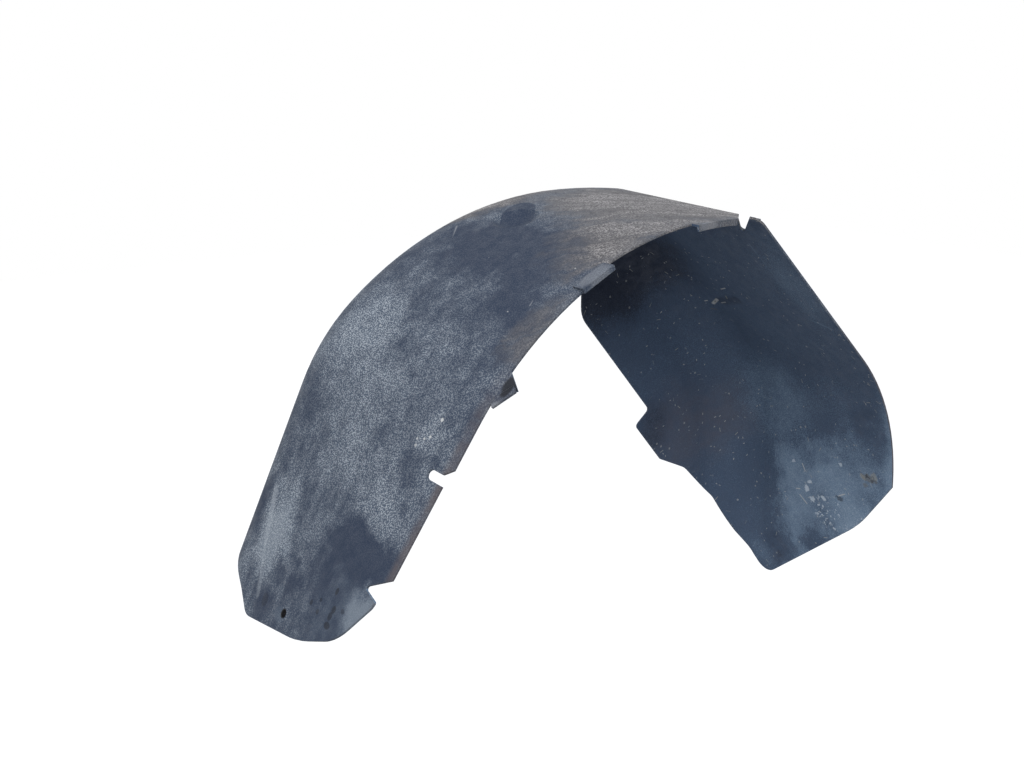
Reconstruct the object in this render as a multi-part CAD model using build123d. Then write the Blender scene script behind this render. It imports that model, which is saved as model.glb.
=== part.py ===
from build123d import *
import os
from collections import namedtuple
from math import cos, degrees, radians, sin

# A wheel arch liner moulded in one sheet. The wheel axis lies along Y through the origin,
# X runs from the left foot to the right foot, Y runs inboard and Z is up.
# An angle is the outward direction of the sheet in the XZ plane, in degrees from +X.

# Sheet and overall width
sheet = 2.5
width = 318.0
shoulder_radius = 70.0
shoulder_band = 4.0

# Profile of the outboard edge
edge_radius = 380.0
edge_leg_angle = 145.0
edge_flank_angle = 125.0
edge_flank_radius = 380.0
edge_bend_angle = 82.0
edge_bend_radius = 40.0
edge_panel_length = 264.0

# Profile of the inboard side, where the tread meets the shoulder
wall_radius = 430.0
wall_shift_x = -20.0
wall_shift_z = -41.5
wall_leg_angle = 154.5
wall_flank_angle = 130.0
wall_flank_radius = 258.0
wall_top_radius = 800.0
wall_bend_angle = 83.8
wall_bend_radius = 40.0
wall_panel_length = 272.0

# Right side, common to both profiles
panel_angle = 46.5
panel_setback = 14.0
panel_setback_turn = 1.0
knee_radius = 284.0
foot_angle = 5.0

# Length of both legs before their ends are trimmed, and how far a cut runs past the sheet
leg_length = 330.0
foot_length = 300.0
overrun = 60.0

# Inner wall: an even rim on the left half, and on the right half a deep web with a small tab
rim_depth = 95.0
web_front_x = 68.0
web_front_radius = 40.0
web_top_radius = 30.0
web_corner_z = 205.0
web_step_x = 199.0
web_step_z = 48.0
web_tab_x = 174.0
web_tab_z = 27.0
web_tab_low_x = 226.0
web_tab_low_z = -36.0
web_low_x = 279.0
web_low_z = -62.0
web_heel_x = 340.0
web_heel_z = -124.0
web_end_x = 390.0
web_end_z = -212.0
web_corner_radius = 6.0

# Left foot, in the plane of the leg: across from the outboard edge, and down the leg
foot_plane_angle = 150.0
tear_top = 126.0
tear_tip_across = 36.0
tear_tip_down = 146.0
tear_low_across = 11.0
tear_low_down = 151.0
tear_radius = 2.5
lobe_top_across = 12.0
lobe_top_down = 157.5
lobe_low_across = 39.0
lobe_low_down = 203.5
lobe_top_radius = 14.0
lobe_low_radius = 60.0
sole_across = 97.0
sole_down = 230.0
sole_radius = 150.0
heel_across = 207.0
heel_down = 251.0
heel_radius = 22.0
heel_top_across = 236.0
heel_top_down = 232.0
heel_top_radius = 60.0
heel_rise = 80.0

# Fixing hole in the left foot, with a collar round it on the hidden face
hole_diameter = 8.0
hole_across = 137.0
hole_down = 219.0
collar_diameter = 18.0
collar_length = 6.0

# Slot in the outboard edge of the left leg, with a wide mouth, and the edge below it that stands back
slot_width = 10.0
slot_depth = 29.0
slot_down = 25.5
slot_flare = 8.0
slot_flare_depth = 10.0
leg_setback = 4.0

# Right foot: across from the outboard edge, and height over the axle
sole_corner_across = 4.0
sole_corner_z = -4.0
sole_corner_radius = 2.0
sole_knee_across = 60.0
sole_knee_z = -86.0
sole_knee_radius = 200.0
sole_tip_across = 240.0
sole_tip_z = -245.0
sole_tip_radius = 24.0
sole_back_across = 284.0
sole_back_z = -195.0

# V-notch across the bend: across from the outboard edge, and down over the bend
notch_left = -46.0
notch_right = -13.0
notch_left_across = 52.0
notch_left_down = 8.0
notch_tip_across = 68.0
notch_tip_down = 44.0
notch_right_across = 16.0
notch_right_down = -13.0
notch_radius = 3.0

# Bent clip on the outboard edge, a strip with a tilted web
clip_angle = 141.0
clip_sink = 0.6
clip_length = 28.0
clip_width = 9.0
clip_turn = 52.0
clip_web_height = 34.0
clip_web_rise = 20.0
clip_web_reach = 17.0
clip_web_tilt = 28.0

# Flat lug on the outboard edge
lug_angle = 117.0
lug_length = 42.0
lug_width = 16.0
lug_rise = 3.0
lug_overhang = 4.0

# Lip that hangs from the outboard edge
lip_first_angle = 96.0
lip_last_angle = 87.5
lip_drop = 7.0

# Outboard edge between the lug and the lip, which stands back from both
crown_setback = 10.5

# Pressed dimple near the top of the crown
dimple_angle = 106.0
dimple_across = 188.0
dimple_diameter = 54.0
dimple_depth = 9.0

# Straight up
upright = 90.0

Profile = namedtuple(
    "Profile",
    "centre radius leg_angle flank_angle flank_radius top_radius bend_angle bend_radius panel_length",
)


def radial(angle):
    return Vector(cos(radians(angle)), 0, sin(radians(angle)))


def along(angle):
    return Vector(sin(radians(angle)), 0, -cos(radians(angle)))


def touching_plane(point, angle):
    # Local x runs across the sheet (inboard), local y back along it and local z out of it
    return Plane(origin=point, x_dir=(0, 1, 0), z_dir=radial(angle))


def arc(centre, radius, first, last):
    middle = (first + last) / 2
    return ThreePointArc(*[centre + radial(angle) * radius for angle in (first, middle, last)])


def left_arcs(profile, inset):
    flank_centre = profile.centre + radial(profile.flank_angle) * (profile.radius - profile.flank_radius)
    flank = arc(flank_centre, profile.flank_radius - inset, profile.leg_angle, profile.flank_angle)
    crown = arc(profile.centre, profile.radius - inset, profile.flank_angle, upright)
    return flank, crown


def right_arcs(profile, inset):
    top_centre = profile.centre + radial(upright) * (profile.radius - profile.top_radius)
    bend_centre = top_centre + radial(profile.bend_angle) * (profile.top_radius - profile.bend_radius)
    panel_start = bend_centre + radial(panel_angle) * profile.bend_radius
    panel_end = panel_start + along(panel_angle) * profile.panel_length
    knee_centre = panel_end - radial(panel_angle) * knee_radius
    top = arc(top_centre, profile.top_radius - inset, upright, profile.bend_angle)
    bend = arc(bend_centre, profile.bend_radius - inset, profile.bend_angle, panel_angle)
    knee = arc(knee_centre, knee_radius - inset, panel_angle, foot_angle)
    return top, bend, knee


def arch_face(profile, inset, extra):
    flank, crown = left_arcs(profile, inset)
    top, bend, knee = right_arcs(profile, inset)
    left_end = flank @ 0 - (flank % 0) * (leg_length + extra)
    right_end = knee @ 1 + (knee % 1) * (foot_length + extra)
    edges = [
        Line(left_end, flank @ 0),
        flank,
        crown,
        top,
        bend,
        Line(bend @ 1, knee @ 0),
        knee,
        Line(knee @ 1, right_end),
        Line(right_end, left_end),
    ]
    return Face(Wire(edges))


def arch_body(inset, extra):
    edge_face = arch_face(edge_profile, inset, extra)
    wall_face = arch_face(wall_profile, inset, extra)
    tread = loft([edge_face, wall_face], ruled=True)
    cap = extrude(wall_face, amount=width - inset - seam, dir=(0, 1, 0))
    wall_edges = cap.faces().sort_by(Axis.Y)[-1].edges().sort_by(SortBy.LENGTH)
    # The longest edge only closes the outline between the feet, so it stays sharp
    return tread + fillet(wall_edges[:-1], shoulder_radius - inset)


def wall_opening():
    flank, crown = left_arcs(wall_profile, rim_depth)
    leg_start = flank @ 0 - (flank % 0) * 2 * leg_length
    web = FilletPolyline(
        crown @ 1,
        (web_front_x, seam, (crown @ 1).Z),
        (web_front_x, seam, web_corner_z),
        (web_step_x, seam, web_step_z),
        (web_tab_x, seam, web_tab_z),
        (web_tab_low_x, seam, web_tab_low_z),
        (web_low_x, seam, web_low_z),
        (web_heel_x, seam, web_heel_z),
        (web_end_x, seam, web_end_z),
        (web_end_x, seam, leg_start.Z),
        radius=[web_top_radius, web_front_radius] + [web_corner_radius] * 3 + [web_front_radius] * 3,
    )
    outline = Wire([Line(leg_start, flank @ 0), flank, crown, *web.edges(), Line(web @ 1, leg_start)])
    return extrude(Face(outline), amount=width - seam + overrun, dir=(0, 1, 0))


def left_foot_trim():
    far = width + overrun
    low = 2 * leg_length
    outline = FilletPolyline(
        (-overrun, tear_top),
        (leg_setback, tear_top),
        (tear_tip_across, tear_tip_down),
        (tear_low_across, tear_low_down),
        (lobe_top_across, lobe_top_down),
        (lobe_low_across, lobe_low_down),
        (sole_across, sole_down),
        (heel_across, heel_down),
        (heel_top_across, heel_top_down),
        (far, heel_top_down - heel_rise),
        radius=[
            tear_radius,
            tear_radius,
            tear_radius,
            lobe_top_radius,
            lobe_low_radius,
            sole_radius,
            heel_radius,
            heel_top_radius,
        ],
    )
    rest = Polyline(outline @ 1, (far, low), (-overrun, low), outline @ 0)
    return extrude(leg_plane * make_face(outline + rest), amount=leg_length, both=True)


def right_foot_trim():
    far = width + overrun
    low = -2 * foot_length
    slope = (far - sole_back_across) * (sole_back_z - sole_tip_z) / (sole_back_across - sole_tip_across)
    outline = FilletPolyline(
        (-overrun, sole_corner_z),
        (sole_corner_across, sole_corner_z),
        (sole_knee_across, sole_knee_z),
        (sole_tip_across, sole_tip_z),
        (far, sole_back_z + slope),
        radius=[sole_corner_radius, sole_knee_radius, sole_tip_radius],
    )
    rest = Polyline(outline @ 1, (far, low), (-overrun, low), outline @ 0)
    behind = Plane(origin=(knee_radius, 0, 0), x_dir=(0, 1, 0), z_dir=(1, 0, 0))
    return extrude(behind * make_face(outline + rest), amount=foot_length)


def slot():
    top = slot_down - slot_width / 2
    bottom = slot_down + slot_width / 2
    outline = Polyline(
        (-overrun, tear_tip_down),
        (leg_setback, tear_tip_down),
        (leg_setback, bottom),
        (slot_depth - slot_width / 2, bottom),
        (slot_depth - slot_width / 2, top),
        (slot_flare_depth, top),
        (0, top - slot_flare),
        (-overrun, top - slot_flare),
        close=True,
    )
    end = Pos(slot_depth - slot_width / 2, slot_down) * Circle(slot_width / 2)
    return extrude(leg_plane * (make_face(outline) + end), amount=shoulder_radius, both=True)


def hole_cylinder(diameter):
    return leg_plane * Pos(hole_across, hole_down, 0) * Cylinder(diameter / 2, leg_length)


def bend_notch():
    outline = FilletPolyline(
        (0, -notch_left),
        (notch_left_across, -notch_left_down),
        (notch_tip_across, -notch_tip_down),
        (notch_right_across, -notch_right_down),
        (0, -notch_right),
        radius=notch_radius,
    )
    rest = Polyline(outline @ 1, (-overrun, -notch_right), (-overrun, -notch_left), outline @ 0)
    return extrude(bend_plane * make_face(outline + rest), amount=edge_bend_radius, both=True)


def panel_setback_trim():
    corner = bend_plane * Pos(0, -notch_right, 0)
    length = 2 * edge_radius
    block = Box(2 * panel_setback, length, length, align=(Align.CENTER, Align.MAX, Align.CENTER))
    return corner * Rot(0, 0, -panel_setback_turn) * block


def edge_clip():
    frame = touching_plane(radial(clip_angle) * (edge_radius - clip_sink), clip_angle)
    strip = Box(clip_length, clip_width, sheet, align=(Align.MAX, Align.MIN, Align.MAX))
    strip = Pos(sheet, 0, 0) * Rot(0, 0, clip_turn) * strip
    corners = [(0, 0), (0, -clip_web_height), (-clip_web_reach, -clip_web_rise)]
    web = extrude(make_face(Polyline(*corners, close=True)), amount=-sheet)
    return frame * (strip + Rot(0, -clip_web_tilt, 0) * web)


def edge_lug():
    frame = touching_plane(radial(lug_angle) * edge_radius, lug_angle)
    lug = Box(lug_width, lug_length, sheet + lug_rise, align=(Align.MIN, Align.CENTER, Align.MAX))
    return frame * Pos(-lug_overhang, 0, lug_rise) * lug


def edge_band(outer_radius, inner_radius, first, last, amount):
    # A band round the wheel axis that starts in the plane of the outboard edge
    outer = arc(edge_profile.centre, outer_radius, first, last)
    inner = arc(edge_profile.centre, inner_radius, first, last)
    outline = Wire([outer, Line(outer @ 1, inner @ 1), inner, Line(inner @ 0, outer @ 0)])
    return extrude(Face(outline), amount=amount, dir=(0, 1, 0))


def edge_lip():
    return edge_band(edge_radius, edge_radius - lip_drop, lip_first_angle, lip_last_angle, sheet)


def crown_setback_trim():
    lug_end_angle = lug_angle - degrees(lug_length / 2 / edge_radius)
    outer_radius = edge_radius + overrun
    inner_radius = edge_radius - overrun
    return edge_band(outer_radius, inner_radius, lug_end_angle, lip_first_angle, crown_setback)


def dimple_ball(extra):
    share = dimple_across / seam
    centre = edge_profile.centre * (1 - share) + wall_profile.centre * share
    radius = edge_radius * (1 - share) + wall_radius * share
    ball_radius = (dimple_diameter ** 2 / 4 + dimple_depth ** 2) / (2 * dimple_depth)
    ball_centre = centre + radial(dimple_angle) * (radius + ball_radius - dimple_depth)
    return Location(ball_centre) * Sphere(ball_radius + extra)


seam = width - shoulder_radius - shoulder_band
edge_profile = Profile(
    centre=Vector(0, 0, 0),
    radius=edge_radius,
    leg_angle=edge_leg_angle,
    flank_angle=edge_flank_angle,
    flank_radius=edge_flank_radius,
    top_radius=edge_radius,
    bend_angle=edge_bend_angle,
    bend_radius=edge_bend_radius,
    panel_length=edge_panel_length,
)
wall_profile = Profile(
    centre=Vector(wall_shift_x, seam, wall_shift_z),
    radius=wall_radius,
    leg_angle=wall_leg_angle,
    flank_angle=wall_flank_angle,
    flank_radius=wall_flank_radius,
    top_radius=wall_top_radius,
    bend_angle=wall_bend_angle,
    bend_radius=wall_bend_radius,
    panel_length=wall_panel_length,
)
leg_plane = touching_plane(radial(foot_plane_angle) * edge_radius, foot_plane_angle)
bend_angle = (edge_bend_angle + panel_angle) / 2
bend_centre = radial(edge_bend_angle) * (edge_radius - edge_bend_radius)
bend_plane = touching_plane(bend_centre + radial(bend_angle) * edge_bend_radius, bend_angle)

solid_arch = arch_body(0, 0)
liner = solid_arch - arch_body(sheet, overrun)
liner -= dimple_ball(0)
liner += solid_arch & (dimple_ball(sheet) - dimple_ball(0))
liner -= wall_opening()
liner -= left_foot_trim()
liner -= right_foot_trim()
liner -= slot()
thick_shell = solid_arch - arch_body(collar_length, overrun)
liner += thick_shell & hole_cylinder(collar_diameter)
liner -= hole_cylinder(hole_diameter)
liner -= panel_setback_trim()
liner -= bend_notch()
liner -= crown_setback_trim()
liner += edge_clip()
liner += edge_lug()
liner += edge_lip()

os.makedirs("parts", exist_ok=True)
export_step(liner, "parts/wheel_arch_liner.step")
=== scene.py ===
from collections import namedtuple
from math import radians

import bpy
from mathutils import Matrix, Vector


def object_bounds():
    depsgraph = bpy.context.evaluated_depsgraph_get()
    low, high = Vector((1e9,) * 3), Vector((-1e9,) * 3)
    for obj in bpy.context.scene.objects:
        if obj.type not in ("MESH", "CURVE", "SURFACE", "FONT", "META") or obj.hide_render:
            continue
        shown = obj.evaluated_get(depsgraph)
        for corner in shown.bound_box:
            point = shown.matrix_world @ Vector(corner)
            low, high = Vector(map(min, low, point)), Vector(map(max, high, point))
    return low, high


# The liner is one moulding, so the scene is its imported node with a worn, dusty plastic material that also
# carries painted light and shade.
# Places and sizes on it are millimetres in the part's own frame.
mm = 0.001

# A noise, a noise that swings evenly about zero, and a smooth change between two ends
Noise = namedtuple("Noise", "size detail roughness distortion", defaults=(3.0, 0.55, 0.0))
Swing = namedtuple("Swing", "noise reach")
Ramp = namedtuple("Ramp", "low high first last", defaults=(0.0, 1.0))

# Marks with a place of their own, and small marks that are scattered
Mark = namedtuple("Mark", "place size amount")
Stroke = namedtuple("Stroke", "start end width colour amount")
Spot = namedtuple("Spot", "place size colour amount")
Specks = namedtuple("Specks", "spacing size share")
Dashes = namedtuple("Dashes", "spacing length width share")

# Camera
camera_place = (-811.9, -758.8, 540.0)
camera_turn = 35.43
camera_tilt = 17.22
camera_far = 100000.0
photo_width = 1024
photo_focal = 1053.7
sensor_width = 36.0

# Floor, well below the liner because the liner hangs on its fixings
floor_gap = 500.0
floor_size = 12000.0
floor_colour = (0.3, 0.3, 0.3, 1.0)
floor_glow = 0.87

# Light
white = (1.0, 1.0, 1.0, 1.0)
sky_colour = (0.56, 0.60, 0.68, 1.0)
ground_colour = (0.07, 0.075, 0.085, 1.0)
sky_heights = Ramp(-0.25, 0.6)
key_place = (-1500.0, -1700.0, 2000.0)
key_size = 2400.0
key_power = 62.0

# Colours of the outer face and of what lies on it, as linear values
plastic = (0.028, 0.041, 0.071, 1.0)
haze = (0.096, 0.122, 0.160, 1.0)
haze_thick = (0.172, 0.204, 0.242, 1.0)
fleck = (0.49, 0.525, 0.555, 1.0)
dust = (0.104, 0.098, 0.098, 1.0)
dust_fleck = (0.58, 0.55, 0.53, 1.0)
edge_brown = (0.105, 0.088, 0.092, 1.0)
edge_highlight = (0.24, 0.25, 0.26, 1.0)

# Colours of the inner face and of what lies on it; inner_deep is also painted shade, and the film colours are
# also painted light
inner_deep = (0.026, 0.034, 0.056, 1.0)
inner_plain = (0.070, 0.103, 0.163, 1.0)
inner_film_and_light = (0.190, 0.275, 0.385, 1.0)
inner_film_and_light_thick = (0.30, 0.40, 0.52, 1.0)
inner_soil = (0.115, 0.118, 0.150, 1.0)

# Colours of small marks
pale = (0.62, 0.62, 0.60, 1.0)
straw = (0.50, 0.47, 0.36, 1.0)
chip = (0.46, 0.46, 0.43, 1.0)
grey = (0.24, 0.25, 0.27, 1.0)
dark = (0.012, 0.014, 0.020, 1.0)
residue = (0.17, 0.155, 0.125, 1.0)
# Near black, painted shade in the fixing hole
hole_shade = (0.002, 0.002, 0.003, 1.0)
drop = (0.64, 0.71, 0.78, 1.0)

# Surface of the moulding: fine raised grain with worn tops, roughness, and a painted highlight on its rounded
# edges
grain_noise = Noise(1.35, 1.0)
grain_tops = Ramp(0.46, 0.62)
grain_depth = 0.4
grain_strength = 0.5
rough_noise = Noise(12)
rough_range = Ramp(0.3, 0.7, 0.55, 0.8)
gloss = 0.25
edge_round = 1.0
edge_samples = 4
edge_highlight_ramp = Ramp(0.99, 0.8, 0.0, 0.45)

# Middle of the arch, from which the outer face looks away
arch_middle = (-20, 120, 30)
outer_side = Ramp(-10, 10)

# Middle of a random colour, which is taken off it to leave a shift about zero
middle_colour = (0.5, 0.5, 0.5)

# How far large marks wander and small ones fray, and how soft the borders of marks are
warp = Swing(Noise(50.0, 5.0, 0.62), 55.0)
fray = Swing(Noise(7.0, 5.0, 0.62), 14.0)
mark_border = Ramp(1.0, 0.2)
spot_border = (1.0, 0.7)
stroke_softness = 3

# Haze of worn grain on the outer face, with streaks that grow stronger down the leg
haze_broad_clouds = Swing(Noise(70, 6.0), 0.4)
haze_fine_clouds = Swing(Noise(14), 0.25)
haze_drifting_clouds = Swing(Noise(28, 5.0, 0.7), 0.36)
streak_clouds = Swing(Noise(9.0, 4.0, 0.6), 1.0)
streak_stretch = 0.09
streak_heights = Ramp(300, 80, 0.1, 0.28)
haze_cover = Ramp(-0.15, 0.9)
haze_thick_cover = Ramp(0.6, 1.3)
fleck_cover = Ramp(-0.1, 0.8, 0.06, 0.8)

# Grain of the left foot, which fades on the lobe, where the foot is both low and outboard
foot_grain_heights = Ramp(55, 125, 0.16, 1.0)
foot_grain_across = Ramp(60, 140, 0.16, 0.85)

haze_level = 0.24
haze_marks = {
    "pale band over the leg": Mark((-300, 207, 275), (75, 55, 60), 0.38),
    "pale far shoulder": Mark((-335, 240, 240), (40, 40, 60), 0.25),
    "speckled leg": Mark((-355, 150, 185), (110, 110, 110), 0.2),
    "streaks by the heel": Mark((-428, 212, 66), (45, 45, 80), 1.1),
    # Painted highlight on the rounded shoulder over the heel
    "painted highlight on the shoulder over the heel": Mark((-450, 250, 30), (30, 30, 60), 0.3),
    "pale lobe": Mark((-428, 26, 52), (30, 34, 38), 1.15),
    "pale foot by the notch": Mark((-405, 45, 80), (14, 34, 16), 0.3),
    "patch by the slot": Mark((-335, 45, 200), (28, 28, 34), 0.3),
    "speckled leg under the slot": Mark((-380, 70, 130), (40, 55, 45), 0.25),
    "dark patch under the dimple": Mark((-185, 165, 345), (95, 95, 60), -0.5),
    "dark patch by the shoulder": Mark((-225, 245, 325), (45, 45, 45), -0.1),
    "dark crown": Mark((-165, 80, 350), (80, 70, 60), -0.4),
    "dark near edge of the crown": Mark((-225, 55, 312), (60, 60, 60), -0.32),
    "blotch over the foot": Mark((-402, 55, 90), (34, 70, 34), -1.0),
    "dark stripe down the leg": Mark((-415, 105, 75), (40, 26, 70), -0.25),
    "dark spot over the hole": Mark((-442, 150, 34), (18, 18, 18), -0.4),
    "dark spot by the crease": Mark((-440, 185, 42), (16, 18, 24), -0.35),
    "dark heel": Mark((-462, 185, 5), (25, 25, 30), -0.3),
    # Painted shade where the shoulder by the heel turns away
    "painted shade on the shoulder by the heel": Mark((-425, 262, 70), (40, 22, 50), -0.4),
    "pale cloud": Mark((-181, 113, 343), (18, 18, 18), 0.55),
}

# Dust on the outer face, wiped in bent bands
dust_swirls = Swing(Noise(45, 7.0, 0.65, 1.5), 0.65)
wipe_clouds = Swing(Noise(24.0, 4.0, 0.6, 0.4), 1.0)
dust_cover = Ramp(-0.3, 1.2, 0.0, 0.95)
powder_noise = Noise(1.8, 2.0)
powder_tops = Ramp(0.42, 0.6)
powder_in_wipes = Ramp(-0.4, 0.4, 0.12, 0.8)
powder_in_dust = Ramp(0.2, 1.6, 0.25, 1.0)

dust_level = -1.0
dust_marks = {
    "top of the crown": Mark((25, 120, 384), (235, 250, 90), 2.4),
    "top by the shoulder": Mark((-120, 275, 365), (140, 65, 60), 2.2),
    "middle of the crown": Mark((-150, 60, 350), (120, 95, 60), 0.95),
    "near edge of the crown": Mark((-130, 5, 355), (125, 85, 60), 0.9),
    "near edge of the leg": Mark((-245, 10, 295), (95, 55, 80), 1.35),
    "clean patch under the dimple": Mark((-175, 160, 350), (75, 70, 60), -0.9),
}

# Slanted dark patch over the dimple, partly bare of dust and partly painted shade in the dimple, with a sharp
# border
bare_shaded_place = (-122, 200, 372)
bare_shaded_run = (0.66, 0.71, 0.24)
bare_shaded_side = (0.64, -0.76, 0.13)
bare_shaded_length = 37.0
bare_shaded_width = 19.0
bare_shaded_border = Ramp(1.06, 0.94)
bare_shaded_haze = -0.35
bare_shaded_dust = -1.5

# Brown band along the outboard edge of the left leg
band_across = Ramp(16, 6)
band_heights = Ramp(300, 160)
band_noise = Noise(18, 4.0)
band_patches = Ramp(0.3, 0.6, 0.3, 0.8)

# Film on the inner face, with painted shade and painted light in it
inner_broad_clouds = Swing(Noise(80, 6.0), 0.3)
inner_fine_clouds = Swing(Noise(12), 0.25)
plain_cover = Ramp(-1.0, 0.0)
film_and_light_cover = Ramp(0.0, 1.0)
film_and_light_thick_cover = Ramp(0.9, 1.8)
film_fleck_cover = Ramp(0.4, 1.2, 0.0, 0.16)
film_in_grain = 0.4

# The three shaded marks are painted shade under the crown, and the marks over the knee and on the top facet
# are painted light; the others are film
film_light_and_shade_level = -0.1
film_light_and_shade_marks = {
    "shaded top of the web": Mark((110, 300, 260), (150, 130, 110), -1.3),
    "shaded underside of the crown": Mark((20, 130, 370), (130, 160, 70), -0.8),
    "shaded tab": Mark((205, 316, 20), (50, 60, 60), -0.5),
    "painted light over the knee": Mark((350, 215, 60), (90, 110, 110), 0.55),
    "thin film by the right edge": Mark((345, 35, 60), (60, 60, 65), -0.5),
    "painted light on the top facet": Mark((165, 35, 285), (120, 45, 120), 0.42),
    "film on the tip": Mark((390, 245, -205), (40, 40, 40), 0.35),
    "clean lower edge by the tip": Mark((384, 208, -182), (40, 55, 34), -0.6),
    "clean lower edge by the corner": Mark((376, 140, -142), (40, 50, 28), -0.6),
    "film in the middle of the foot": Mark((364, 110, -38), (40, 55, 45), 0.4),
    "film over the foot": Mark((337, 106, 92), (60, 65, 60), 0.2),
    "pale border of the film": Mark((376, 180, -80), (40, 40, 80), 0.25),
    "pale lower corner": Mark((364, 62, -78), (40, 65, 45), 0.9),
}

# Film and painted light on the right foot, a lit patch where the arch's shadow ends, with an inboard border
# and an upper border that climbs outboard
foot_light_and_film_inboard = 212.0
foot_light_and_film_top = -25.0
foot_light_and_film_climb = 0.6
foot_light_and_film_border = Swing(Noise(32, 6.0, 0.65), 50 * mm)
foot_light_and_film_fade = Ramp(-20, 20)
foot_light_and_film_noise = Noise(30, 6.0, 0.65)
foot_light_and_film_mottle = Ramp(0.32, 0.62, 0.65, 1.1)
foot_light_and_film_amount = 0.65

# Painted highlight along the outboard rim of the right leg
rim_highlight_across = Ramp(24, 4)
rim_highlight_along = Ramp(280, 330)
rim_highlight_amount = 0.5

# Soil on the inner face
soil_cover = Ramp(0.0, 0.9)
soil_level = -0.1
soil_marks = {
    "soil on the web": Mark((262, 316, 0), (135, 60, 160), 0.52),
    "soil low on the panel": Mark((335, 275, 10), (70, 60, 110), 0.5),
}

# White splashes low on the right foot
splash_place = (366, 80, -90)
splash_size = (45, 90, 40)
splash_border = Ramp(1.0, 0.5)
large_drops = Specks(8, 3.2, 0.35)
small_drops = Specks(4.5, 1.9, 0.5)
drop_amount = 0.9

# Scattered specks on both faces, and dashes in loose groups on the inner face
outer_specks = Specks(22, 1.6, 0.3)
outer_speck_amount = 0.5
inner_specks = Specks(9, 1.8, 0.3)
inner_speck_amount = 0.4
long_dashes = Dashes(22, 7, 1.3, 0.2)
short_dashes = Dashes(13, 3, 1.4, 0.2)
dash_noise = Noise(60, 4.0)
dash_groups = Ramp(0.42, 0.6, 0.05, 0.7)

outer_strokes = {
    "curved scratch, upper": Stroke((-176, 242, 359), (-193, 224, 349), 3.0, grey, 0.8),
    "curved scratch, lower": Stroke((-193, 224, 349), (-213, 218, 337), 3.0, grey, 0.6),
    # Painted highlight along the crease by the heel, and painted shade on the strip beyond it where the sheet
    # turns away
    "painted shade beyond the crease": Stroke((-419.6, 251.1, 83.3), (-438.4, 243.2, 44.2), 18.0, plastic, 0.45),
    "painted highlight on the crease by the heel, upper": Stroke((-411, 240, 99), (-437, 222, 50), 12.0, fleck, 0.3),
    "painted highlight on the crease by the heel, lower": Stroke((-437, 222, 50), (-457, 198, 4), 9.0, fleck, 0.2),
    "straw on the leg": Stroke((-374, 196, 170), (-366, 188, 182), 2.6, straw, 0.9),
    "straw across it": Stroke((-370, 196, 177), (-368, 183, 176), 2.2, straw, 0.8),
    "scratch by the edge": Stroke((-217, 41, 316), (-224, 38, 312), 2.2, grey, 0.7),
}

outer_spots = {
    "clip web in shade": Spot((-283, -9, 254), (15, 9, 14), dark, 0.95),
    "clip strip": Spot((-302, -10, 231), (20, 12, 13), grey, 0.8),
    "lug": Spot((-172, 3, 340), (25, 11, 17), grey, 0.45),
    "lip": Spot((-25, 0, 376), (14, 5, 6), grey, 0.5),
    "dot by the slot, first": Spot((-333, 48, 198), (2, 2, 2), pale, 0.8),
    "dot by the slot, second": Spot((-336, 54, 195), (1.8, 1.8, 1.8), pale, 0.7),
    "dot by the slot, third": Spot((-342, 61, 188), (2.2, 2.2, 2.2), pale, 0.6),
    "dot by the slot, fourth": Spot((-338, 63, 193), (1.6, 1.6, 1.6), pale, 0.6),
    "dot over the slot": Spot((-322, 44, 214), (2.4, 2.4, 2.4), pale, 0.9),
    "dot on the leg": Spot((-345, 105, 203), (2.4, 2.4, 2.4), pale, 0.6),
    "pale rim of the hole": Spot((-456, 145, 6), (9, 12, 9), haze, 0.6),
    "dark dot on the foot, first": Spot((-434, 62, 41), (4, 4, 5), dark, 0.7),
    "dark dot on the foot, second": Spot((-438, 63, 35), (5, 4, 5), dark, 0.6),
    "dark dot on the foot, third": Spot((-443, 61, 28), (4, 6, 4), dark, 0.7),
    "dark dot by the notch": Spot((-426, 70, 54), (3, 3, 6), dark, 0.7),
    "dark dot in the middle": Spot((-439, 101, 33), (3, 3, 4), dark, 0.6),
    "dark dot left of the middle": Spot((-434, 88, 40), (3, 3, 3), dark, 0.6),
    "dark dot right of the middle": Spot((-441, 85, 31), (3, 3, 3), dark, 0.6),
    "dark dot by the lobe": Spot((-432, 48, 45), (3, 4, 3), dark, 0.5),
    "dark spot at the heel": Spot((-456, 181, 6), (7, 7, 9), dark, 0.4),
    "dark spot over the heel": Spot((-442, 170, 35), (9, 10, 14), plastic, 0.6),
    "dark spot up the leg": Spot((-430, 150, 56), (5, 5, 9), plastic, 0.6),
}

# Spots that reach through both faces: painted shade in the fixing hole
deep_spots = {
    "painted shade in the fixing hole": Spot((-453, 138, 8.5), (6, 6, 6), hole_shade, 1.0),
}

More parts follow.
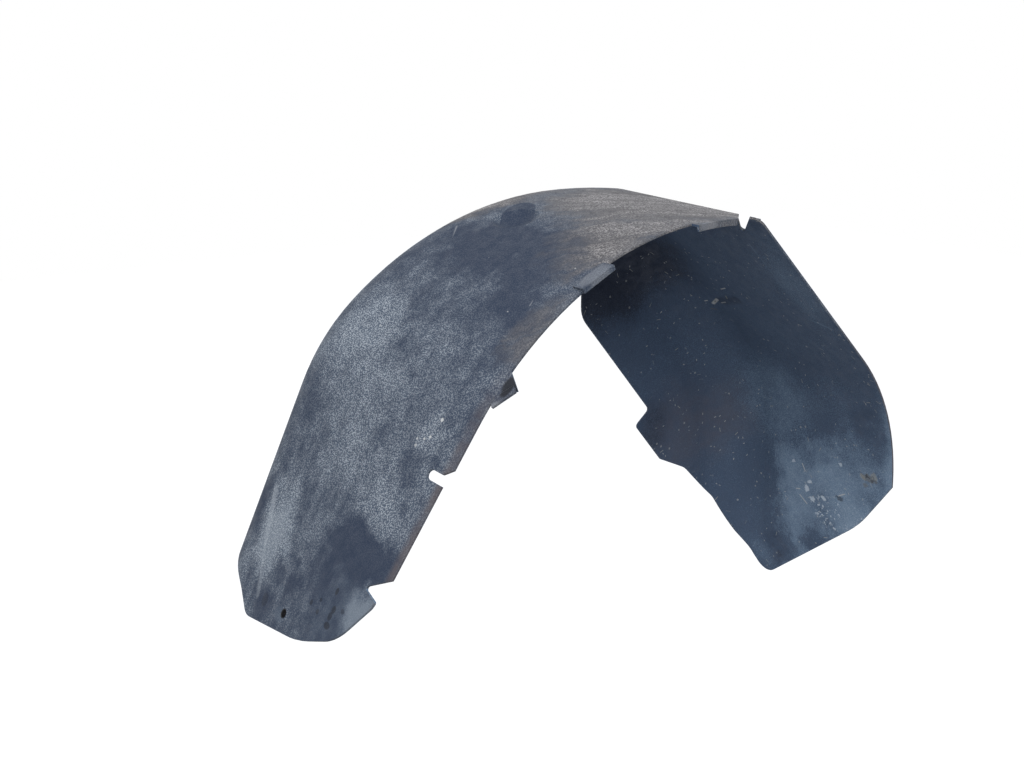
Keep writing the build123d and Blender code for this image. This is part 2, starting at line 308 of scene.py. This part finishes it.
inner_strokes = {
    "streak on the facet": Stroke((215, 62, 232), (222, 25, 226), 5.0, inner_film_and_light, 0.5),
    "dash on the foot": Stroke((372.8, 177.1, -71.5), (372.0, 170.3, -69.3), 2.4, pale, 0.8),
    "line of the facet": Stroke((110, 66, 335), (216, 58, 231), 3.0, inner_film_and_light, 0.3),
    "tall scratch on the foot": Stroke((368.1, 166.8, -27.7), (368.5, 160.9, -37.4), 2.2, pale, 0.85),
    "low scratch on the foot": Stroke((372.9, 170.0, -79.0), (372.5, 155.7, -88.3), 2.2, pale, 0.85),
    "short scratch on the foot": Stroke((364.4, 96.5, -53.4), (362.9, 85.8, -46.5), 2.2, pale, 0.85),
    "dark round of the boss": Stroke((247.0, 232.5, 219.3), (230.8, 188.8, 230.8), 24.0, inner_deep, 0.5),
    "boss": Stroke((256.7, 255.8, 210.4), (246.5, 239.2, 220.4), 7.5, pale, 0.9),
    "heart of the boss": Stroke((253.4, 250.1, 214.1), (250.9, 245.9, 216.6), 2.6, residue, 0.7),
    "tick left of the boss": Stroke((251.1, 266.6, 212.8), (251.3, 262.2, 214.1), 3.0, pale, 0.8),
    "tick over the boss": Stroke((219.0, 207.6, 243.7), (213.5, 195.4, 247.8), 2.8, pale, 0.8),
    "tick up from the boss": Stroke((231.0, 209.8, 232.4), (235.8, 211.0, 228.0), 2.6, straw, 0.7),
    "tick right of the boss": Stroke((251.0, 235.1, 215.7), (245.9, 223.1, 219.5), 2.8, pale, 0.7),
    "smudge under the boss": Stroke((264.4, 267.0, 199.9), (267.5, 258.4, 199.7), 3.0, residue, 0.6),
}

inner_spots = {
    "dark dot on the foot": Spot((364, 94, -57), (6, 8, 5), dark, 0.6),
    "residue": Spot((356, 45, -8), (7, 17, 6), residue, 0.55),
    "residue by the rim": Spot((355, 36, -2), (6, 6, 4), straw, 0.35),
    "residue on its left": Spot((357, 55, -10), (6, 6, 4), straw, 0.3),
    "low end of the residue": Spot((357, 49, -20), (6, 6, 3), residue, 0.5),
    "dark speck in the residue": Spot((356, 48, -6), (5, 4, 2.5), dark, 0.6),
    "dark speck by the rim": Spot((356, 39, -9), (5, 5, 2.5), dark, 0.5),
    "long drop": Spot((370, 157, -63), (5, 6, 6), drop, 0.85),
    "drop under it": Spot((371, 145, -77), (5, 6.5, 4.5), drop, 0.8),
    "drop beside it": Spot((368, 125, -68), (5, 5.5, 4), drop, 0.85),
    "drop over it": Spot((369, 152, -52), (5, 4.5, 3.5), drop, 0.8),
    "small drop": Spot((360, 95, -5), (5, 4, 3), drop, 0.7),
    "far drop": Spot((370, 183, -29), (5, 4, 3), drop, 0.6),
}


class Nodes:
    """Short calls that add shader nodes to one tree and join them up."""

    def __init__(self, tree):
        self.tree = tree
        tree.nodes.clear()

    def add(self, kind, inputs, output=0, **settings):
        node = self.tree.nodes.new("ShaderNode" + kind)
        for name, value in settings.items():
            setattr(node, name, value)
        for name, value in inputs.items():
            if isinstance(value, bpy.types.NodeSocket):
                self.tree.links.new(value, node.inputs[name])
            else:
                node.inputs[name].default_value = value
        return node.outputs[output]

    def end(self, kind, surface):
        node = self.tree.nodes.new("ShaderNodeOutput" + kind)
        self.tree.links.new(surface, node.inputs["Surface"])

    def math(self, operation, a, b=0.0, c=0.0):
        return self.add("Math", {0: a, 1: b, 2: c}, operation=operation)

    def plus(self, a, b):
        return self.math("ADD", a, b)

    def minus(self, a, b):
        return self.math("SUBTRACT", a, b)

    def times(self, a, b):
        return self.math("MULTIPLY", a, b)

    def times_plus(self, a, b, c):
        return self.math("MULTIPLY_ADD", a, b, c)

    def vector(self, operation, a, b=(0, 0, 0)):
        output = "Value" if operation in ("DOT_PRODUCT", "LENGTH") else "Vector"
        return self.add("VectorMath", {0: a, 1: b}, output, operation=operation)

    def scaled(self, vector, scale):
        return self.add("VectorMath", {"Vector": vector, "Scale": scale}, operation="SCALE")

    def parts(self, vector):
        node = self.tree.nodes.new("ShaderNodeSeparateXYZ")
        self.tree.links.new(vector, node.inputs[0])
        return node.outputs

    def ramp(self, value, ramp, unit=1.0):
        inputs = {
            "Value": value,
            "From Min": ramp.low * unit,
            "From Max": ramp.high * unit,
            "To Min": ramp.first,
            "To Max": ramp.last,
        }
        return self.add("MapRange", inputs, interpolation_type="SMOOTHSTEP")

    def blend(self, factor, a, b):
        return self.add("Mix", {0: factor, 6: a, 7: b}, 2, data_type="RGBA")

    def noise(self, place, noise, output="Fac"):
        inputs = {
            "Vector": place,
            "Scale": 1 / (noise.size * mm),
            "Detail": noise.detail,
            "Roughness": noise.roughness,
            "Distortion": noise.distortion,
        }
        return self.add("TexNoise", inputs, output)

    def swing(self, place, swing):
        return self.times_plus(self.noise(place, swing.noise), 2 * swing.reach, -swing.reach)

    def cells(self, place, spacing):
        return self.add("TexVoronoi", {"Vector": place, "Scale": 1 / (spacing * mm)}).node.outputs


def metres(millimetres):
    return [value * mm for value in millimetres]


def near(nodes, place, centre, size):
    offset = nodes.vector("SUBTRACT", place, metres(centre))
    return nodes.vector("LENGTH", nodes.vector("DIVIDE", offset, metres(size)))


def amount(nodes, place, level, marks):
    total = level
    for mark in marks.values():
        cover = nodes.ramp(near(nodes, place, mark.place, mark.size), mark_border)
        total = nodes.times_plus(cover, mark.amount, total)
    return total


def add_spots(nodes, colour, place, spots):
    for spot in spots.values():
        distance = near(nodes, place, spot.place, spot.size)
        cover = nodes.ramp(distance, Ramp(*spot_border, 0.0, spot.amount))
        colour = nodes.blend(cover, colour, spot.colour)
    return colour


def add_strokes(nodes, colour, place, strokes):
    for stroke in strokes.values():
        start = metres(stroke.start)
        run = [last - first for first, last in zip(start, metres(stroke.end))]
        length_squared = sum(value * value for value in run)
        offset = nodes.vector("SUBTRACT", place, start)
        share = nodes.math("DIVIDE", nodes.vector("DOT_PRODUCT", offset, run), length_squared)
        nearest = nodes.scaled(run, nodes.add("Clamp", {"Value": share}))
        distance = nodes.vector("LENGTH", nodes.vector("SUBTRACT", offset, nearest))
        reach = stroke.width * mm / 2
        cover = nodes.ramp(distance, Ramp(reach, reach / stroke_softness, 0.0, stroke.amount))
        colour = nodes.blend(cover, colour, stroke.colour)
    return colour


def dashes(nodes, place, normal, kind):
    # Short straight strokes, one in some of the cells, each lying in the face and turned its own way
    cell = nodes.cells(place, kind.spacing)
    chance = nodes.add("TexWhiteNoise", {"Vector": cell["Position"]}, "Value")
    turn = nodes.vector("SUBTRACT", cell["Color"], middle_colour)
    axis = nodes.vector("NORMALIZE", nodes.vector("CROSS_PRODUCT", turn, normal))
    across = nodes.vector("CROSS_PRODUCT", axis, normal)
    offset = nodes.vector("SUBTRACT", place, cell["Position"])
    run = nodes.math("ABSOLUTE", nodes.vector("DOT_PRODUCT", offset, axis))
    aside = nodes.math("ABSOLUTE", nodes.vector("DOT_PRODUCT", offset, across))
    within = nodes.math("LESS_THAN", run, kind.length * mm / 2)
    chosen = nodes.math("LESS_THAN", chance, kind.share)
    half_width = kind.width * mm / 2
    return nodes.times(nodes.times(within, chosen), nodes.ramp(aside, Ramp(half_width, half_width / 2)))


def specks(nodes, place, kind):
    # Round specks, one in some of the cells, each with its own size
    cell = nodes.cells(place, kind.spacing)
    chance, stretch, _ = nodes.parts(cell["Color"])
    reach = nodes.times(stretch, kind.size / kind.spacing)
    within = nodes.math("LESS_THAN", cell["Distance"], reach)
    return nodes.times(within, nodes.math("LESS_THAN", chance, kind.share))


def wandering(nodes, place, swing):
    shift = nodes.noise(place, swing.noise, "Color")
    centred = nodes.vector("SUBTRACT", shift, middle_colour)
    return nodes.vector("ADD", place, nodes.scaled(centred, swing.reach * mm))


def outer_face(nodes, place, normal):
    away = nodes.vector("SUBTRACT", place, metres(arch_middle))
    return nodes.ramp(nodes.vector("DOT_PRODUCT", normal, away), outer_side, mm)


def streaks(nodes, place):
    # Narrow across the sheet and long down the leg
    x, y, z = nodes.parts(place)
    drawn_x = nodes.times(x, streak_stretch)
    drawn_z = nodes.times(z, streak_stretch)
    return nodes.swing(nodes.add("CombineXYZ", {0: drawn_x, 1: y, 2: drawn_z}), streak_clouds)


def wipes(nodes, place):
    # Bent bands, as a hand leaves in dust
    x, y, _ = nodes.parts(place)
    drawn = nodes.times(nodes.minus(y, x), streak_stretch)
    return nodes.swing(nodes.add("CombineXYZ", {0: nodes.plus(x, y), 1: drawn}), wipe_clouds)


# Dark patch over the dimple, partly bare of dust and partly painted shade in the dimple
def bare_shaded_patch(nodes, place):
    offset = nodes.vector("SUBTRACT", place, metres(bare_shaded_place))
    run = nodes.math("DIVIDE", nodes.vector("DOT_PRODUCT", offset, bare_shaded_run), bare_shaded_length * mm)
    side = nodes.math("DIVIDE", nodes.vector("DOT_PRODUCT", offset, bare_shaded_side), bare_shaded_width * mm)
    reach = nodes.vector("LENGTH", nodes.add("CombineXYZ", {0: run, 1: side}))
    return nodes.ramp(reach, bare_shaded_border)


def hazed(nodes, place, roaming, grain, bare_shaded):
    _, y, z = nodes.parts(place)
    clouds = nodes.plus(nodes.swing(place, haze_broad_clouds), nodes.swing(place, haze_fine_clouds))
    clouds = nodes.plus(clouds, nodes.swing(roaming, haze_drifting_clouds))
    clouds = nodes.times_plus(streaks(nodes, place), nodes.ramp(z, streak_heights, mm), clouds)
    cover = nodes.plus(amount(nodes, roaming, haze_level, haze_marks), clouds)
    cover = nodes.times_plus(bare_shaded, bare_shaded_haze, cover)
    colour = nodes.blend(nodes.ramp(cover, haze_cover), plastic, haze)
    colour = nodes.blend(nodes.ramp(cover, haze_thick_cover), colour, haze_thick)
    high = nodes.ramp(z, foot_grain_heights, mm)
    inboard = nodes.ramp(y, foot_grain_across, mm)
    worn = nodes.times(grain, nodes.ramp(cover, fleck_cover))
    worn = nodes.times(worn, nodes.math("MAXIMUM", high, inboard))
    return nodes.blend(worn, colour, fleck)


def dusted(nodes, colour, place, roaming, bare_shaded):
    wiped = wipes(nodes, roaming)
    depth = nodes.plus(amount(nodes, roaming, dust_level, dust_marks), nodes.swing(roaming, dust_swirls))
    depth = nodes.times_plus(bare_shaded, bare_shaded_dust, nodes.plus(depth, wiped))
    powder = nodes.ramp(nodes.noise(place, powder_noise), powder_tops)
    powder = nodes.times(powder, nodes.ramp(wiped, powder_in_wipes))
    powder = nodes.times(powder, nodes.ramp(depth, powder_in_dust))
    return nodes.blend(nodes.ramp(depth, dust_cover), colour, nodes.blend(powder, dust, dust_fleck))


def brown_band(nodes, place):
    _, y, z = nodes.parts(place)
    band = nodes.times(nodes.ramp(y, band_across, mm), nodes.ramp(z, band_heights, mm))
    return nodes.times(band, nodes.ramp(nodes.noise(place, band_noise), band_patches))


def outer_finish(nodes, place, roaming, grain):
    bare_shaded = bare_shaded_patch(nodes, place)
    colour = hazed(nodes, place, roaming, grain, bare_shaded)
    colour = dusted(nodes, colour, place, roaming, bare_shaded)
    colour = nodes.blend(brown_band(nodes, place), colour, edge_brown)
    speckled = nodes.times(specks(nodes, place, outer_specks), outer_speck_amount)
    colour = nodes.blend(speckled, colour, pale)
    colour = add_strokes(nodes, colour, place, outer_strokes)
    return add_spots(nodes, colour, place, outer_spots)


# Lighter patch on the right foot: film, and painted light where the arch's shadow ends
def foot_light_and_film(nodes, place, roaming):
    _, y, z = nodes.parts(roaming)
    border = nodes.plus(nodes.swing(place, foot_light_and_film_border), foot_light_and_film_inboard * mm)
    outboard = nodes.minus(border, y)
    below = nodes.minus(nodes.times_plus(outboard, foot_light_and_film_climb, foot_light_and_film_top * mm), z)
    inside = nodes.times(nodes.ramp(outboard, foot_light_and_film_fade, mm), nodes.ramp(below, foot_light_and_film_fade, mm))
    return nodes.times(inside, nodes.ramp(nodes.noise(roaming, foot_light_and_film_noise), foot_light_and_film_mottle))


# Painted highlight along the outboard rim
def rim_highlight(nodes, place):
    x, y, _ = nodes.parts(place)
    return nodes.times(nodes.ramp(y, rim_highlight_across, mm), nodes.ramp(x, rim_highlight_along, mm))


# Film colour of the inner face, with painted shade under the crown and painted light over the knee, on the
# top facet and on the right foot
def filmed_lit_and_shaded(nodes, place, roaming, grain, clouds):
    cover = amount(nodes, roaming, film_light_and_shade_level, film_light_and_shade_marks)
    cover = nodes.times_plus(foot_light_and_film(nodes, place, roaming), foot_light_and_film_amount, cover)
    cover = nodes.times_plus(rim_highlight(nodes, place), rim_highlight_amount, cover)
    cover = nodes.times_plus(grain, film_in_grain, nodes.plus(cover, clouds))
    colour = nodes.blend(nodes.ramp(cover, plain_cover), inner_deep, inner_plain)
    colour = nodes.blend(nodes.ramp(cover, film_and_light_cover), colour, inner_film_and_light)
    colour = nodes.blend(nodes.ramp(cover, film_and_light_thick_cover), colour, inner_film_and_light_thick)
    return nodes.blend(nodes.times(grain, nodes.ramp(cover, film_fleck_cover)), colour, drop)


def splashed(nodes, colour, ragged, roaming):
    splash = nodes.ramp(near(nodes, roaming, splash_place, splash_size), splash_border)
    drops = nodes.math("MAXIMUM", specks(nodes, ragged, large_drops), specks(nodes, ragged, small_drops))
    return nodes.blend(nodes.times(nodes.times(drops, splash), drop_amount), colour, drop)


def inner_finish(nodes, place, normal, roaming, grain):
    ragged = wandering(nodes, place, fray)
    clouds = nodes.plus(nodes.swing(place, inner_broad_clouds), nodes.swing(place, inner_fine_clouds))
    colour = filmed_lit_and_shaded(nodes, place, roaming, grain, clouds)
    soil = nodes.plus(amount(nodes, roaming, soil_level, soil_marks), clouds)
    colour = nodes.blend(nodes.ramp(soil, soil_cover), colour, inner_soil)
    colour = splashed(nodes, colour, ragged, roaming)
    speckled = nodes.times(specks(nodes, place, inner_specks), inner_speck_amount)
    colour = nodes.blend(speckled, colour, pale)
    groups = nodes.ramp(nodes.noise(place, dash_noise), dash_groups)
    colour = nodes.blend(nodes.times(dashes(nodes, place, normal, long_dashes), groups), colour, chip)
    colour = nodes.blend(nodes.times(dashes(nodes, place, normal, short_dashes), groups), colour, pale)
    colour = add_spots(nodes, colour, ragged, inner_spots)
    return add_strokes(nodes, colour, place, inner_strokes)


def liner_plastic():
    material = bpy.data.materials.new("liner_plastic")
    material.use_nodes = True
    nodes = Nodes(material.node_tree)
    place = nodes.add("TexCoord", {}, "Object")
    normal = nodes.add("NewGeometry", {}, "Normal")
    roaming = wandering(nodes, place, warp)
    grain = nodes.ramp(nodes.noise(place, grain_noise), grain_tops)
    outside = outer_finish(nodes, place, roaming, grain)
    inside = inner_finish(nodes, place, normal, roaming, grain)
    colour = nodes.blend(outer_face(nodes, place, normal), inside, outside)
    rounded = nodes.add("Bevel", {"Radius": edge_round * mm}, samples=edge_samples)
    # Painted highlight on the edges, pale grey where the rounded normal turns from the true one
    edge = nodes.ramp(nodes.vector("DOT_PRODUCT", rounded, normal), edge_highlight_ramp)
    colour = add_spots(nodes, nodes.blend(edge, colour, edge_highlight), place, deep_spots)
    bump = {"Height": grain, "Distance": grain_depth * mm, "Strength": grain_strength, "Normal": rounded}
    surface = nodes.add(
        "BsdfPrincipled",
        {
            "Base Color": colour,
            "Roughness": nodes.ramp(nodes.noise(place, rough_noise), rough_range),
            "Specular IOR Level": gloss,
            "Normal": nodes.add("Bump", bump),
        },
    )
    nodes.end("Material", surface)
    return material


def seen_directly(nodes):
    path = nodes.tree.nodes.new("ShaderNodeLightPath").outputs
    seen = nodes.math("MAXIMUM", path["Is Camera Ray"], path["Is Glossy Ray"])
    return nodes.math("MAXIMUM", seen, path["Is Transmission Ray"])


def add_world():
    world = bpy.data.worlds.new("studio")
    world.use_nodes = True
    bpy.context.scene.world = world
    nodes = Nodes(world.node_tree)
    _, _, height = nodes.parts(nodes.add("TexCoord", {}, "Generated"))
    light = nodes.blend(nodes.ramp(height, sky_heights), ground_colour, sky_colour)
    background = nodes.add("Background", {"Color": nodes.blend(seen_directly(nodes), light, white)})
    nodes.end("World", background)


def add_floor(low):
    bpy.ops.mesh.primitive_plane_add(size=floor_size * mm, location=(0, 0, low - floor_gap * mm))
    floor = bpy.context.object
    floor.name = "floor"
    material = bpy.data.materials.new("floor")
    material.use_nodes = True
    nodes = Nodes(material.node_tree)
    matt = nodes.add("BsdfDiffuse", {"Color": floor_colour})
    strength = nodes.times(seen_directly(nodes), floor_glow)
    glow = nodes.add("Emission", {"Color": white, "Strength": strength})
    nodes.end("Material", nodes.add("AddShader", {0: matt, 1: glow}))
    floor.data.materials.append(material)


def add_lamp():
    lamp = bpy.data.lights.new("key", "AREA")
    lamp.shape = "DISK"
    lamp.size = key_size * mm
    lamp.energy = key_power
    holder = bpy.data.objects.new("key", lamp)
    holder.location = metres(key_place)
    aim = -holder.location
    holder.rotation_euler = aim.to_track_quat("-Z", "Y").to_euler()
    bpy.context.scene.collection.objects.link(holder)


def add_camera():
    camera = bpy.data.cameras.new("photo")
    camera.sensor_fit = "HORIZONTAL"
    camera.sensor_width = sensor_width
    camera.lens = photo_focal / photo_width * sensor_width
    camera.clip_end = camera_far * mm
    holder = bpy.data.objects.new("photo", camera)
    holder.location = metres(camera_place)
    holder.rotation_euler = (radians(90 - camera_tilt), 0, radians(-camera_turn))
    bpy.context.scene.collection.objects.link(holder)
    bpy.context.scene.camera = holder


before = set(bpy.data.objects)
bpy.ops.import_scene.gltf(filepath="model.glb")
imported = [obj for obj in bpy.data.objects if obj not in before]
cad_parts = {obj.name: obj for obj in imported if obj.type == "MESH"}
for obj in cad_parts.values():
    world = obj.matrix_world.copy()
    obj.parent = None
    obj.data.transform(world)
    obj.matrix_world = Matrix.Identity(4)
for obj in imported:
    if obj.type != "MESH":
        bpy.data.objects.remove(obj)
cad_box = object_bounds()
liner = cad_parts["wheel_arch_liner"]
liner.data.materials.clear()
liner.data.materials.append(liner_plastic())

add_world()
add_floor(cad_box[0][2])
add_lamp()
add_camera()
bpy.context.scene.view_settings.view_transform = "Standard"
